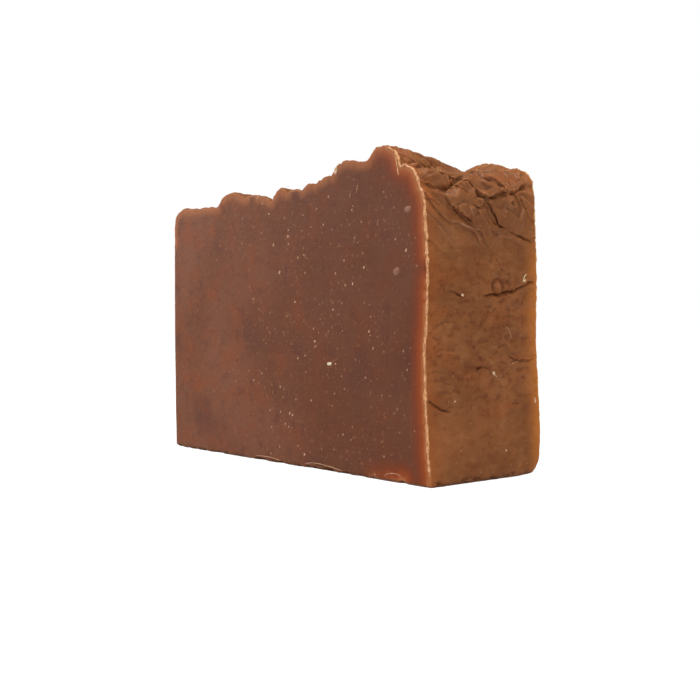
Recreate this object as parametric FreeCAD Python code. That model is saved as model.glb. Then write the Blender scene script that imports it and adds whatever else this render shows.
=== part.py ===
import FreeCAD, Part
import math
import os
from collections import namedtuple
from FreeCAD import Vector

# A bar of hand-made soap, cut from a loaf. The loaf is poured in a wooden mould, its top is
# heaped and folded with a spoon, and bars are sliced across it with a wire. One bar is one
# solid piece, so it has five plain sides and one textured one:
#   front and back   flat wire cuts, at -Y and +Y
#   left and right   the mould's walls, at -X and +X, creased where thick batter didn't close
#   bottom           the mould's floor, at Z = 0, on which the bar stands
#   top              overlapping folds of batter, highest at the right
# The origin is the middle of the bottom, and all lengths are in millimetres.

# The bar as the mould and the wire leave it
LENGTH = 88.9               # across the mould, wall to wall, where the bar is widest
THICKNESS = 32.3            # between the two wire cuts
BATTER_LEVEL = 56.9         # from the floor to the lowest flat stretch of the top

# The right-hand wall's foot, shin, waist, belly and rim, at shares of the batter's level. The
# insets say how far each stands inside the bar's full length, at each cut face.
WALL_HEIGHTS = (0.0, 0.21, 0.475, 0.77, 1.0)
FRONT_INSETS = (0.8, 1.9, 2.5, 1.7, 3.1)
BACK_INSETS = (0.0, 0.9, 2.2, 2.2, 2.9)
LEFT_WALL_LEAN = 0.4        # how far the left-hand wall's foot and rim stand inside its middle

# Edges, as the wire left them or as handling rubbed them
FRONT_EDGE_BEVEL = 0.4      # upright edges of the front cut
BACK_EDGE_BEVEL = 0.5       # upright edges of the back cut
FRONT_FLOOR_RADIUS = 0.6    # bottom edge of the front cut
WALL_FLOOR_RADIUS = 1.0     # bottom edges of the two walls
BACK_FLOOR_RADIUS = 2.2     # bottom edge of the back cut

# The heap under the folds: level at the left, rising to a crown at the right
LEFT_SHOULDER = 4.6         # how far the left shoulder falls, over as much width
CROWN_RISE = 4.2
SLOPE_START = -0.07         # where the rise begins, as a share of the length
CROWN_START = 0.27
RIGHT_SHOULDER_RUN = 11.9   # width of the right shoulder, from the crown's edge to the wall
RIGHT_SHOULDER_FALL = 13.8  # how far it falls from the crown

Fold = namedtuple("Fold", "along across rise radius tip heading dip reach")
# A fold is a tapering roll of batter. It starts at a share of the length and the thickness,
# measured from the middle, with its crest a rise above the batter's level. It runs for its reach
# in its heading, turned from +X towards +Y, and dips until it dives under the batter.
BEYOND_CUT = 0.56           # a share of the thickness that lies outside the wire cut
FRONT_FOLDS = [
    Fold(-0.234, -BEYOND_CUT, 3.4, 7.0, 4.0, 72, 7, 28),
    Fold(-0.142, -BEYOND_CUT, 2.3, 14.0, 8.0, 101, 3, 26),
    Fold(-0.031, -BEYOND_CUT, 3.1, 3.3, 2.0, 78, 7, 22),
    Fold(0.023, -BEYOND_CUT, 2.7, 15.0, 8.0, 96, 2, 30),
    Fold(0.094, -BEYOND_CUT, 3.9, 4.6, 3.0, 106, 8, 22),
    Fold(0.143, -BEYOND_CUT, 4.9, 5.4, 3.5, 80, 7, 24),
    Fold(0.225, -BEYOND_CUT, 7.8, 7.0, 5.0, 101, 9, 30),
    Fold(0.277, -BEYOND_CUT, 7.3, 5.0, 3.4, 94, 8, 26),
    Fold(0.336, -BEYOND_CUT, 9.8, 5.3, 4.0, 88, 8, 30),
    Fold(0.403, -BEYOND_CUT, 5.3, 4.2, 3.0, 86, 2, 28),
    Fold(0.440, -BEYOND_CUT, 1.3, 2.7, 2.2, 89, 4, 22),
]
BACK_FOLDS = [
    Fold(-0.411, BEYOND_CUT, 1.6, 9.0, 5.0, 262, 5, 22),
    Fold(-0.302, BEYOND_CUT, 3.0, 6.0, 4.0, 288, 9, 22),
    Fold(-0.178, BEYOND_CUT, 2.4, 10.0, 6.0, 256, 5, 24),
    Fold(-0.055, BEYOND_CUT, 3.8, 6.0, 4.0, 281, 9, 24),
    Fold(0.064, BEYOND_CUT, 4.2, 9.0, 6.0, 262, 6, 26),
    Fold(0.173, BEYOND_CUT, 6.0, 6.5, 4.0, 276, 9, 24),
    Fold(0.317, BEYOND_CUT, 8.2, 14.0, 9.0, 266, 9, 24),
    Fold(0.406, BEYOND_CUT, 6.4, 5.0, 3.6, 264, 7, 20),
    Fold(0.442, BEYOND_CUT, 2.4, 2.8, 2.3, 273, 4, 20),
]
# long ones, laid across the others from the back
SLANTING_FOLDS = [
    Fold(-0.233, BEYOND_CUT, 2.2, 8.0, 5.0, 204, 2, 34),
    Fold(-0.120, BEYOND_CUT, 2.7, 6.0, 4.0, 233, 3, 32),
    Fold(0.025, BEYOND_CUT, 3.6, 6.0, 3.6, 219, 4, 40),
    Fold(0.130, BEYOND_CUT, 4.9, 5.0, 3.0, 237, 5, 34),
    Fold(0.282, BEYOND_CUT, 7.0, 6.5, 4.0, 222, 6, 36),
]
FOLDS = FRONT_FOLDS + BACK_FOLDS + SLANTING_FOLDS

# The slice is drawn past the finished bar both ways, then the folds and the floor end it
ABOVE_FOLDS = BATTER_LEVEL + 2 * max(fold.rise for fold in FOLDS)
BELOW_FLOOR = -BACK_FLOOR_RADIUS

Crease = namedtuple("Crease", "path width depth")
# A crease is a crack left in a wall. Its path gives shares of the thickness and of the batter's
# level, and it is widest in the middle of the path.
RIGHT_CREASES = [
    # the long one under the folded shoulder, in two strokes
    Crease([(-0.51, 1.005), (-0.42, 0.995), (-0.34, 0.965), (-0.20, 0.915), (-0.02, 0.885)], 1.3, 0.8),
    Crease([(-0.05, 0.985), (0.05, 0.955), (0.11, 0.905), (0.21, 0.875), (0.46, 0.845)], 1.6, 1.1),
    Crease([(0.00, 0.990), (0.15, 1.010), (0.24, 1.005), (0.38, 1.035)], 1.2, 0.8),
    # the big one at the middle of the wall, and a short one beside it
    Crease([(-0.02, 0.655), (0.16, 0.660), (0.33, 0.685), (0.47, 0.703)], 1.3, 1.0),
    Crease([(-0.33, 0.672), (-0.21, 0.656), (-0.17, 0.650)], 0.7, 0.5),
    # low ones
    Crease([(0.22, 0.440), (0.33, 0.415), (0.48, 0.423)], 0.8, 0.5),
    Crease([(-0.06, 0.390), (0.02, 0.392), (0.06, 0.388)], 0.6, 0.4),
    Crease([(-0.47, 0.290), (-0.40, 0.272), (-0.31, 0.256)], 0.8, 0.5),
]
LEFT_CREASES = [
    Crease([(-0.30, 0.880), (-0.10, 0.860), (0.10, 0.885), (0.28, 0.870)], 1.1, 0.7),
    Crease([(0.05, 0.560), (0.20, 0.548), (0.36, 0.566)], 0.9, 0.6),
    Crease([(-0.36, 0.300), (-0.24, 0.312), (-0.14, 0.304)], 0.7, 0.4),
]
CREASE_END = 0.2            # width and depth at a crease's ends, as a share of its middle


def slice_section(y, insets):
    """Closed outline of the mould slice at one cut."""
    foot, shin, waist, belly, rim = [Vector(LENGTH / 2 - inset, y, share * BATTER_LEVEL)
                                     for share, inset in zip(WALL_HEIGHTS, insets)]
    right_bottom = Vector(foot.x, y, BELOW_FLOOR)
    right_top = Vector(rim.x, y, ABOVE_FOLDS)
    left = -LENGTH / 2
    left_foot = Vector(left + LEFT_WALL_LEAN, y, 0)
    left_middle = Vector(left, y, BATTER_LEVEL / 2)
    left_rim = Vector(left + LEFT_WALL_LEAN, y, BATTER_LEVEL)
    left_top = Vector(left_rim.x, y, ABOVE_FOLDS)
    left_bottom = Vector(left_foot.x, y, BELOW_FLOOR)
    return Part.Wire([
        Part.makeLine(left_bottom, right_bottom),
        Part.makeLine(right_bottom, foot),
        Part.Arc(foot, shin, waist).toShape(),
        Part.Arc(waist, belly, rim).toShape(),
        Part.makeLine(rim, right_top),
        Part.makeLine(right_top, left_top),
        Part.makeLine(left_top, left_rim),
        Part.Arc(left_rim, left_middle, left_foot).toShape(),
        Part.makeLine(left_foot, left_bottom),
    ])


def upright_edges(solid, side):
    """The edges where the walls meet a cut face: side is -1 for the front and +1 for the back."""
    return [e for e in solid.Edges
            if e.BoundBox.YLength < 0.01 and e.BoundBox.XLength < LENGTH / 2 and e.CenterOfMass.y * side > 0]


def mould_slice():
    """What the mould and the two wire cuts would leave if the batter filled them."""
    sections = [slice_section(-THICKNESS / 2, FRONT_INSETS), slice_section(THICKNESS / 2, BACK_INSETS)]
    block = Part.makeLoft(sections, True, True)
    block = block.makeChamfer(FRONT_EDGE_BEVEL, upright_edges(block, -1))
    return block.makeChamfer(BACK_EDGE_BEVEL, upright_edges(block, 1))


def rounded_foot():
    """A box as wide as the bar, whose bottom edges are rounded by handling."""
    box = Part.makeBox(LENGTH, THICKNESS, ABOVE_FOLDS, Vector(-LENGTH / 2, -THICKNESS / 2, 0))
    floor = [e for e in box.Edges if e.BoundBox.ZMax < 0.01]
    walls = [e for e in floor if e.BoundBox.XLength < 0.01]
    box = box.makeFillet(WALL_FLOOR_RADIUS, walls)
    for radius, side in ((FRONT_FLOOR_RADIUS, -1), (BACK_FLOOR_RADIUS, 1)):
        edges = [e for e in box.Edges if e.BoundBox.YLength < 0.01 and e.BoundBox.ZMax < ABOVE_FOLDS / 2
                 and e.CenterOfMass.y * side > 0]
        box = box.makeFillet(radius, edges)
    return box


def heap():
    """The batter under the folds, with a rounded shoulder at each wall."""
    left, right = -LENGTH / 2, LENGTH / 2
    cut = -THICKNESS * BEYOND_CUT
    crown = BATTER_LEVEL + CROWN_RISE
    bulge = math.sqrt(0.5)
    left_wall = Vector(left, cut, BATTER_LEVEL - LEFT_SHOULDER)
    left_turn = Vector(left + LEFT_SHOULDER * (1 - bulge), cut, BATTER_LEVEL - LEFT_SHOULDER * (1 - bulge))
    left_top = Vector(left + LEFT_SHOULDER, cut, BATTER_LEVEL)
    slope_foot = Vector(LENGTH * SLOPE_START, cut, BATTER_LEVEL)
    slope_top = Vector(LENGTH * CROWN_START, cut, crown)
    right_top = Vector(right - RIGHT_SHOULDER_RUN, cut, crown)
    right_turn = Vector(right - RIGHT_SHOULDER_RUN * (1 - bulge), cut, crown - RIGHT_SHOULDER_FALL * (1 - bulge))
    right_wall = Vector(right, cut, crown - RIGHT_SHOULDER_FALL)
    right_floor = Vector(right, cut, BELOW_FLOOR)
    left_floor = Vector(left, cut, BELOW_FLOOR)
    outline = Part.Wire([
        Part.Arc(left_wall, left_turn, left_top).toShape(),
        Part.makePolygon([left_top, slope_foot, slope_top, right_top]),
        Part.Arc(right_top, right_turn, right_wall).toShape(),
        Part.makePolygon([right_wall, right_floor, left_floor, left_wall]),
    ])
    return Part.Face(outline).extrude(Vector(0, 2 * THICKNESS * BEYOND_CUT, 0))


def fold_solid(fold):
    """One roll of batter, as a cone that dips along its heading."""
    start = Vector(fold.along * LENGTH, fold.across * THICKNESS, BATTER_LEVEL + fold.rise - fold.radius)
    heading, dip = math.radians(fold.heading), math.radians(fold.dip)
    level = math.cos(dip)
    axis = Vector(math.cos(heading) * level, math.sin(heading) * level, -math.sin(dip))
    return Part.makeCone(fold.radius, fold.tip, fold.reach, start, axis)


def inset_at(insets, height):
    """One cut's inset at a share of the batter's level, between the heights that are given."""
    for i in range(len(WALL_HEIGHTS) - 1):
        low, high = WALL_HEIGHTS[i], WALL_HEIGHTS[i + 1]
        if height <= high:
            return insets[i] + (insets[i + 1] - insets[i]) * (height - low) / (high - low)
    return insets[-1]


def wall_x(side, across, height):
    """Where a wall stands at a place on it: side is -1 for the left wall and +1 for the right."""
    if side < 0:
        return -LENGTH / 2 + LEFT_WALL_LEAN * (2 * height - 1) ** 2
    front, back = inset_at(FRONT_INSETS, height), inset_at(BACK_INSETS, height)
    return LENGTH / 2 - front - (back - front) * (across + 0.5)


def crease_tool(crease, side):
    """The wedge that opens one crease. It is twice as wide and deep as the crease, and half of it
    stands proud of the wall."""
    places = [Vector(wall_x(side, y, z), y * THICKNESS, z * BATTER_LEVEL) for y, z in crease.path]
    last = len(places) - 1
    sections = []
    for i, place in enumerate(places):
        run = places[min(i + 1, last)] - places[max(i - 1, 0)]
        share = CREASE_END + (1 - CREASE_END) * math.sin(math.pi * i / last)
        across = Vector(0, -run.z, run.y).normalize() * crease.width * share
        outwards = Vector(side * crease.depth * share, 0, 0)
        mouth = [place + outwards + across, place + outwards - across]
        sections.append(Part.makePolygon([mouth[0], place - outwards, mouth[1], mouth[0]]))
    return Part.makeLoft(sections, True, True)


def soap_bar():
    batter = heap()
    for fold in FOLDS:
        batter = batter.fuse(fold_solid(fold))
    bar = mould_slice().common(rounded_foot()).common(batter)
    creases = [crease_tool(crease, 1) for crease in RIGHT_CREASES]
    creases += [crease_tool(crease, -1) for crease in LEFT_CREASES]
    for tool in creases:
        bar = bar.cut(tool)
    print("valid", bar.isValid(), "solids", len(bar.Solids), "faces", len(bar.Faces), "mm3", round(bar.Volume))
    return bar.Solids[0]


os.makedirs("parts", exist_ok=True)
soap_bar().exportStep("parts/soap_bar.step")
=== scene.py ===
# %% [markdown]
# # A bar of hand-made soap
# The bar was sliced from a loaf with a wire. Its two big faces are wire cuts and show the plum-brown
# inside of the soap. Its two narrow sides are the skin that set against the mould, and its top is
# the same batter, heaped with a spoon and left to set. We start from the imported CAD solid, give it
# the small shapes that thick batter leaves, and then paint it with procedural materials.

# %% The frame
import math
import random
from collections import namedtuple

import bpy
import numpy as np
from mathutils import Matrix, Vector, kdtree, noise


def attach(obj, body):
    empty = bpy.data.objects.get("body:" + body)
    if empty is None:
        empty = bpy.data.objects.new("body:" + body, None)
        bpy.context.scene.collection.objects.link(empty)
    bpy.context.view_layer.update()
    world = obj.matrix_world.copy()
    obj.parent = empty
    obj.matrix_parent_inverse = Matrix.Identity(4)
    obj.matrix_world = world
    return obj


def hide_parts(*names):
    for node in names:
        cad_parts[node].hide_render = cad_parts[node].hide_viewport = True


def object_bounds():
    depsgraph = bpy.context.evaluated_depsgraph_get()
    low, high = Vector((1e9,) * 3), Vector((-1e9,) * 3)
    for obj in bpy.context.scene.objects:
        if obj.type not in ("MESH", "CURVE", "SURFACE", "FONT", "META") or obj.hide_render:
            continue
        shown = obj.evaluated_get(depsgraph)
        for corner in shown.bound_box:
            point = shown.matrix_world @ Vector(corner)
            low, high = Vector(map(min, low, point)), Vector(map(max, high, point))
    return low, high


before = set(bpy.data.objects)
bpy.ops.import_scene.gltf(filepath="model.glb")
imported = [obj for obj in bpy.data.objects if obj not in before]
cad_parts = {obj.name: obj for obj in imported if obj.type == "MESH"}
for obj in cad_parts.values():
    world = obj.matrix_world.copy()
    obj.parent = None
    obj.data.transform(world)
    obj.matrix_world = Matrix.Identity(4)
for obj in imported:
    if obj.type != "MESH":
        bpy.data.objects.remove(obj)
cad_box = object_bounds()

MM = 0.001
LEFT, RIGHT = -1, 1         # the sides of the two walls, along x
random.seed(7)
low, high = (np.array(corner) / MM for corner in cad_box)
bpy.context.scene.view_settings.view_transform = "Standard"
print("the CAD box is", (high - low).round(2), "mm")

# %% [markdown]
# ## Camera
# The photograph was taken from the right, a little above the middle of the bar, with a long lens.
# The place of the camera was fitted to the bar's corners. We build its axes by hand, because the
# same numbers later tell us which point of the bar a pixel shows.

# %% Camera
FRAME_PIXELS = 700
FOCAL_PIXELS = 1300.0
CAMERA_PLACE = Vector((0.21993, -0.18930, 0.03889))
CAMERA_AZIMUTH = 0.8561
CAMERA_ELEVATION = 0.0498

camera_back = Vector((math.sin(CAMERA_AZIMUTH) * math.cos(CAMERA_ELEVATION),
                      -math.cos(CAMERA_AZIMUTH) * math.cos(CAMERA_ELEVATION),
                      math.sin(CAMERA_ELEVATION)))
camera_right = Vector((math.cos(CAMERA_AZIMUTH), math.sin(CAMERA_AZIMUTH), 0))
camera_up = camera_back.cross(camera_right)

bpy.ops.object.select_all(action="DESELECT")
bpy.ops.object.camera_add()
camera = bpy.context.object
camera.matrix_world = Matrix.Translation(CAMERA_PLACE) @ Matrix(
    (camera_right, camera_up, camera_back)).transposed().to_4x4()
camera.data.sensor_width = 36
camera.data.lens = camera.data.sensor_width * FOCAL_PIXELS / FRAME_PIXELS
camera.data.clip_start = 0.01
bpy.context.scene.camera = camera
print("lens", round(camera.data.lens, 2), "mm")


def pixel_ray(x, y):
    """The direction in which a pixel of the photograph looks."""
    middle = FRAME_PIXELS / 2
    return ((x - middle) * camera_right - (y - middle) * camera_up
            - FOCAL_PIXELS * camera_back).normalized()


# %% [markdown]
# ## The batter's skin
# A CAD solid has crisp planes and cones, and soap has neither: every edge is a little soft and every
# face a little uneven. A voxel remesh gives the copied solid an even net of small faces all over,
# which we can push in and out. Without a window there is no sculpt brush, so each push is worked out
# for all points at once with numpy.

# %% A copy of the solid, with an even net of faces
VOXEL = 0.4
MOST_TRIANGLES = 190000

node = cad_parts["soap_bar"]
bar = bpy.data.objects.new("bar", node.data.copy())
bpy.context.scene.collection.objects.link(bar)
bar.data.materials.clear()


def work_on(piece):
    """Makes a piece the only one that operators act on."""
    bpy.ops.object.select_all(action="DESELECT")
    piece.select_set(True)
    bpy.context.view_layer.objects.active = piece


def finish_with(piece, kind, **settings):
    """Adds one modifier with its settings and applies it."""
    work_on(piece)
    modifier = piece.modifiers.new(kind.title(), kind)
    for name, value in settings.items():
        setattr(modifier, name, value)
    bpy.ops.object.modifier_apply(modifier=modifier.name)


work_on(bar)
bpy.ops.object.mode_set(mode="EDIT")
bpy.ops.mesh.select_all(action="SELECT")
bpy.ops.mesh.remove_doubles(threshold=1e-6)
bpy.ops.object.mode_set(mode="OBJECT")
finish_with(bar, "REMESH", mode="VOXEL", voxel_size=VOXEL * MM)
print("remeshed to", len(bar.data.vertices), "points")


# %% Reading and writing all points at once
def places_of(mesh):
    """Every point of a mesh, in millimetres."""
    flat = np.empty(len(mesh.vertices) * 3)
    mesh.vertices.foreach_get("co", flat)
    return flat.reshape(-1, 3) / MM


def put_places(mesh, places):
    """Moves every point of a mesh to its place in millimetres."""
    mesh.vertices.foreach_set("co", (places * MM).ravel())
    mesh.update()


def normals_of(mesh):
    """The direction in which the surface faces at every point."""
    flat = np.empty(len(mesh.vertices) * 3)
    mesh.vertices.foreach_get("normal", flat)
    return flat.reshape(-1, 3)


def edges_of(mesh):
    """The two points of every edge."""
    pairs = np.empty(len(mesh.edges) * 2, int)
    mesh.edges.foreach_get("vertices", pairs)
    return pairs.reshape(-1, 2)


def spread(values, edges, rounds):
    """Averages values with those of the neighbouring points, over and over."""
    count = len(values)
    degree = np.bincount(edges.ravel(), minlength=count)[:, None] + 1.0
    for _ in range(rounds):
        total = values.copy()
        for column in range(values.shape[1]):
            total[:, column] += np.bincount(edges[:, 0], values[edges[:, 1], column], count)
            total[:, column] += np.bincount(edges[:, 1], values[edges[:, 0], column], count)
        values = total / degree
    return values


def step(start, end, values):
    """A smooth step from 0 at start to 1 at end, which may be the smaller one."""
    share = np.clip((values - start) / (end - start), 0, 1)
    return share * share * (3 - 2 * share)


SEED_SHIFT = np.array([17.3, 5.9, 11.1])        # each seed reads the noise from another place


def lumps(places, size, octaves, seed, where=None):
    """Soft random values, about -1 to 1, in lumps of a size in millimetres, worked out only where a
    mask is above 0."""
    values = np.zeros(len(places))
    chosen = np.arange(len(places)) if where is None else np.flatnonzero(where > 0)
    spots = (places[chosen] / size + SEED_SHIFT * (seed + 1)).tolist()
    values[chosen] = [noise.fractal(spot, 1.0, 2.0, octaves) for spot in spots]
    return values


# %% [markdown]
# ## Walls made whole
# The solid's cracks are plain wedges. Here they are filled first, and the finer ones that replace
# them are pressed in below. A wall is one smooth surface, so a low polynomial fitted to it, leaving
# out what lies deeper than its surroundings, says where the filled wall is.

# %% Filling the plain cracks
WALL_START = 38             # a wall is further from the middle than this, in millimetres
FOOT_END = 1.5              # the rounded foot is left alone
SHOULDER_START = 50.5       # up to this height a wall is one smooth surface
WALL_HALF = 15.4            # the rounded rims, further from the middle than this, are left alone
CRACK_DEPTH = 0.03          # what lies deeper than this is a crack


def fill_wall(places, normals, side):
    """Lifts the points of one wall that lie in a crack."""
    chosen = np.flatnonzero((normals[:, 0] * side > 0.25) & (places[:, 0] * side > WALL_START)
                            & (places[:, 2] > FOOT_END) & (places[:, 2] < SHOULDER_START)
                            & (np.abs(places[:, 1]) < WALL_HALF))
    y, z, x = places[chosen, 1] / 16, places[chosen, 2] / 50, places[chosen, 0] * side
    terms = np.stack([y ** i * z ** j for i in range(3) for j in range(6)], 1)
    whole = np.ones(len(chosen), bool)
    for _ in range(6):
        fit = terms @ np.linalg.lstsq(terms[whole], x[whole], rcond=None)[0]
        whole = x > fit - 2 * CRACK_DEPTH
    sunk = x < fit - CRACK_DEPTH
    places[chosen[sunk], 0] = fit[sunk] * side
    print("filled", int(sunk.sum()), "points of a wall, at most", (fit - x).max().round(2), "mm deep")


places = places_of(bar.data)
for side in (LEFT, RIGHT):
    fill_wall(places, normals_of(bar.data), side)
put_places(bar.data, places)


# %% [markdown]
# ## Folds and cracks
# Where the heaped batter met the mould it folded over itself. Each fold's edge is a line, and the
# batter stands higher on one side of it. We say where such a line runs by pixels of the photograph,
# and a ray from the camera finds the place on the bar, so the line lies on the soap from every side.

# %% From pixels to places on the bar
def landing(start, direction):
    """Where a ray meets the bar, in millimetres."""
    hit, place, _, _ = bar.ray_cast(start, direction)
    return np.array(place) / MM if hit else None


def seen_at(x, y):
    """The place on the bar that a pixel of the photograph shows."""
    return landing(CAMERA_PLACE, pixel_ray(x, y))


def wall_place(side, y, z):
    """The place on a wall at a height, both in millimetres."""
    return landing(Vector((80 * side, y, z)) * MM, Vector((-side, 0, 0)))


# %% The lines
Line = namedtuple("Line", "path height fade depth width")
# The batter on a line's left stands higher by height, or on its right where height is negative, and
# that falls off over fade. The groove on the other side has a depth and width, all in millimetres.
RIGHT_LINES = [
    # rolls behind the near rim
    Line([(397, 170), (407, 166), (418, 168.5), (425, 167), (435, 171)], 0.5, 2.2, 0.4, 0.35),
    Line([(435, 170), (437, 174), (445, 178), (455, 181), (461, 178), (465, 173)], 0.7, 2.0, 0.5, 0.35),
    Line([(423, 180), (426, 176.5), (437, 175.5), (444, 178), (452, 181)], -0.5, 1.2, 0.3, 0.3),
    Line([(424, 182), (431, 187), (443, 190), (450, 188)], 0.6, 1.4, 0.4, 0.3),
    # the broad tongue
    Line([(443, 192), (450, 188), (455, 183.5), (462, 181), (469, 185), (475, 193), (477, 197)],
         -0.8, 3.0, 0.4, 0.3),
    Line([(443, 192), (445, 200), (454, 210), (464, 218), (473, 223)], 0.6, 2.6, 0.35, 0.3),
    # under the back lump, and the flap below it
    Line([(464, 174), (480, 181), (491, 182.5), (502, 188), (510, 193)], 0.8, 2.4, 0.6, 0.35),
    Line([(466, 172), (479, 174), (489, 179), (501, 185.5)], 0.3, 1.2, 0.2, 0.3),
    Line([(461, 180), (471, 186), (479, 195), (485, 197.5), (494, 196.5), (503, 192), (509, 191)],
         0.8, 2.2, 1.3, 0.45),
    Line([(509, 191), (511, 193.5), (514, 193), (519, 188), (526, 186)], 0.5, 1.6, 1.1, 0.4),
    # the long crack, and the pocket beside it
    Line([(483, 198.5), (490.5, 206.5), (496, 218), (498.5, 226.5), (518, 236), (535, 243)],
         0.2, 1.6, 0.8, 0.22),
    Line([(473, 205), (477, 208), (482, 206), (485, 201)], 0.5, 0.9, 0.5, 0.3),
    Line([(476, 206), (477, 211), (479, 215)], 0.2, 0.8, 0.6, 0.3),
    Line([(424, 197.5), (432, 199.5), (441, 205.5)], 0.3, 0.8, 0.15, 0.25),
    # cracks down the wall
    Line([(482, 295), (496, 294), (503, 293), (514, 290.5), (521, 287), (527, 282), (536, 280)],
         0.35, 1.6, 0.9, 0.26),
    Line([(496, 260), (502, 269.5), (508, 274), (514, 274)], 0.15, 1.0, 0.3, 0.2),
    Line([(447, 290.5), (454, 291), (460, 295), (464, 297.5)], 0.15, 1.0, 0.5, 0.22),
    Line([(506, 353), (511, 358), (519, 360.5), (527, 361), (535, 357.5)], 0.2, 1.2, 0.4, 0.22),
    Line([(476, 372), (479, 368), (484.5, 368), (489.5, 370)], -0.2, 1.0, 0.5, 0.28),
    Line([(427, 401), (436, 405.5), (445, 410.5), (449, 412)], 0.15, 1.2, 0.55, 0.26),
    Line([(511, 405), (513, 403), (519, 403)], 0.1, 0.8, 0.2, 0.2),
]
# The left wall isn't in the photograph, so its cracks are given by y and z in millimetres.
LEFT_LINES = [
    Line([(-12, 50), (-5, 48.5), (1, 49), (7, 50.5), (10, 50)], -0.4, 1.8, 0.7, 0.3),
    Line([(1, 32), (5, 31), (9, 31.5), (12, 32.5)], -0.3, 1.4, 0.6, 0.26),
    Line([(-12, 17), (-8, 18), (-4, 17.3)], -0.2, 1.2, 0.4, 0.24),
]
lines = [(line, [seen_at(x, y) for x, y in line.path]) for line in RIGHT_LINES]
lines += [(line, [wall_place(LEFT, y, z) for y, z in line.path]) for line in LEFT_LINES]
for line, path in lines:
    if any(place is None for place in path):
        print("a place misses the bar:", line.path)


def rounded(path):
    """The path with its corners cut off twice, which makes a curve of it."""
    for _ in range(2):
        cut_off = [path[0]]
        for start, end in zip(path, path[1:]):
            cut_off += [start * 0.75 + end * 0.25, start * 0.25 + end * 0.75]
        path = cut_off + [path[-1]]
    return path


lines = [(line, rounded([place for place in path if place is not None])) for line, path in lines]
print("lines:", len(lines))


# %% [markdown]
# ## Finer faces where the detail is
# The right wall and the top carry the detail, and the wire cuts hardly any. So only the faces of
# that wall and of the top are split in four, and those along a line once more.

# %% Splitting faces
def split_faces(piece, chosen):
    """Splits each chosen face in four."""
    work_on(piece)
    bpy.context.tool_settings.mesh_select_mode = (False, False, True)
    bpy.ops.object.mode_set(mode="EDIT")
    bpy.ops.mesh.select_all(action="DESELECT")
    bpy.ops.object.mode_set(mode="OBJECT")
    piece.data.polygons.foreach_set("select", chosen)
    bpy.ops.object.mode_set(mode="EDIT")
    bpy.ops.mesh.subdivide(number_cuts=1)
    bpy.ops.object.mode_set(mode="OBJECT")
    print("split", int(chosen.sum()), "faces, which leaves", len(piece.data.polygons))


def faces_of(mesh):
    """The middle, in millimetres, and the normal of every face."""
    middles, normals = np.empty(len(mesh.polygons) * 3), np.empty(len(mesh.polygons) * 3)
    mesh.polygons.foreach_get("center", middles)
    mesh.polygons.foreach_get("normal", normals)
    return middles.reshape(-1, 3) / MM, normals.reshape(-1, 3)


CUT_SKIN = 0.3              # this near to a wire cut the faces stay as they are
ALL_SPLIT = 50              # above this height every other face is split

middles, normals = faces_of(bar.data)
inner = (middles[:, 1] > low[1] + CUT_SKIN) & (middles[:, 1] < high[1] - CUT_SKIN)
on_skin = (normals[:, 0] > 0.3) | (normals[:, 2] > 0.1) | (middles[:, 2] > ALL_SPLIT)
split_faces(bar, inner & on_skin)
put_places(bar.data, spread(places_of(bar.data), edges_of(bar.data), 2))


# %% Splitting the faces along the lines
def tree_of(places):
    """A search tree, which quickly finds the points near a place."""
    tree = kdtree.KDTree(len(places))
    for i, place in enumerate(places):
        tree.insert(place, i)
    tree.balance()
    return tree


LINE_REACH = 1.0            # faces this near to a line are split again

middles, _ = faces_of(bar.data)
tree = tree_of(middles)
by_line = np.zeros(len(middles), bool)
for line, path in lines:
    for start, end in zip(path, path[1:]):
        parts = max(1, int(np.linalg.norm(end - start) / (LINE_REACH / 2)))
        for k in range(parts + 1):
            for _, i, _ in tree.find_range(start + (end - start) * k / parts, LINE_REACH):
                by_line[i] = True
split_faces(bar, by_line)
places = places_of(bar.data)
edges = edges_of(bar.data)
print("split to", len(places), "points")

# %% [markdown]
# ## Which way is out
# A point on the rim has to move together with its neighbours on both sides of it, or the rim tears
# into spikes. So the direction of a push is the normal averaged over a millimetre or two, and near
# the wire cuts it has no part across the cut, which stays as flat as the wire left it.

# %% Outward directions and the regions of the bar
out = spread(normals_of(bar.data), edges, 12)
front_gap = places[:, 1] - low[1]
back_gap = high[1] - places[:, 1]
out[:, 1] *= step(0.2, 2.2, np.minimum(front_gap, back_gap))

top = step(0.15, 0.75, out[:, 2]) * step(44, 50, places[:, 2])
right_wall = step(0.25, 0.8, out[:, 0]) * (1 - top)
left_wall = step(-0.25, -0.8, out[:, 0]) * (1 - top)
walls = right_wall + left_wall
print("points on top", int((top > 0.5).sum()), "right wall", int((right_wall > 0.5).sum()))

# %% [markdown]
# ## Lumps
# The spoon left soft lumps that are a few millimetres across, with smaller ones on them. The same
# kind of noise at three sizes gives both. The big rolls are in the solid already. Where a second
# noise passes zero, a thin line is pressed in: such lines wander and fork like wrinkles.

# %% Soft lumps and wrinkles on the top, gentle waves in the walls
shoulder = step(42, 50, places[:, 2]) * walls
push = top * (0.4 * lumps(places, 6.0, 3, 1, top) + 0.2 * lumps(places, 1.8, 2, 2, top)
              + 0.12 * lumps(places, 0.8, 1, 13, top))
push += walls * (0.2 * lumps(places, 9.0, 2, 3, walls) + 0.07 * lumps(places, 2.2, 3, 4, walls))

WRINKLE_WIDTH = 0.05        # in values of the noise, so a wrinkle's real width varies
wrinkle = lumps(places, 4.5, 3, 8)
in_groups = step(-0.1, 0.25, lumps(places, 7.0, 2, 9))
wrinkled = np.exp(-(wrinkle / WRINKLE_WIDTH) ** 2) * in_groups * (top + 0.6 * shoulder)
push -= 0.2 * wrinkled
print("lumps from", push.min().round(2), "to", push.max().round(2), "mm")

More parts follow.
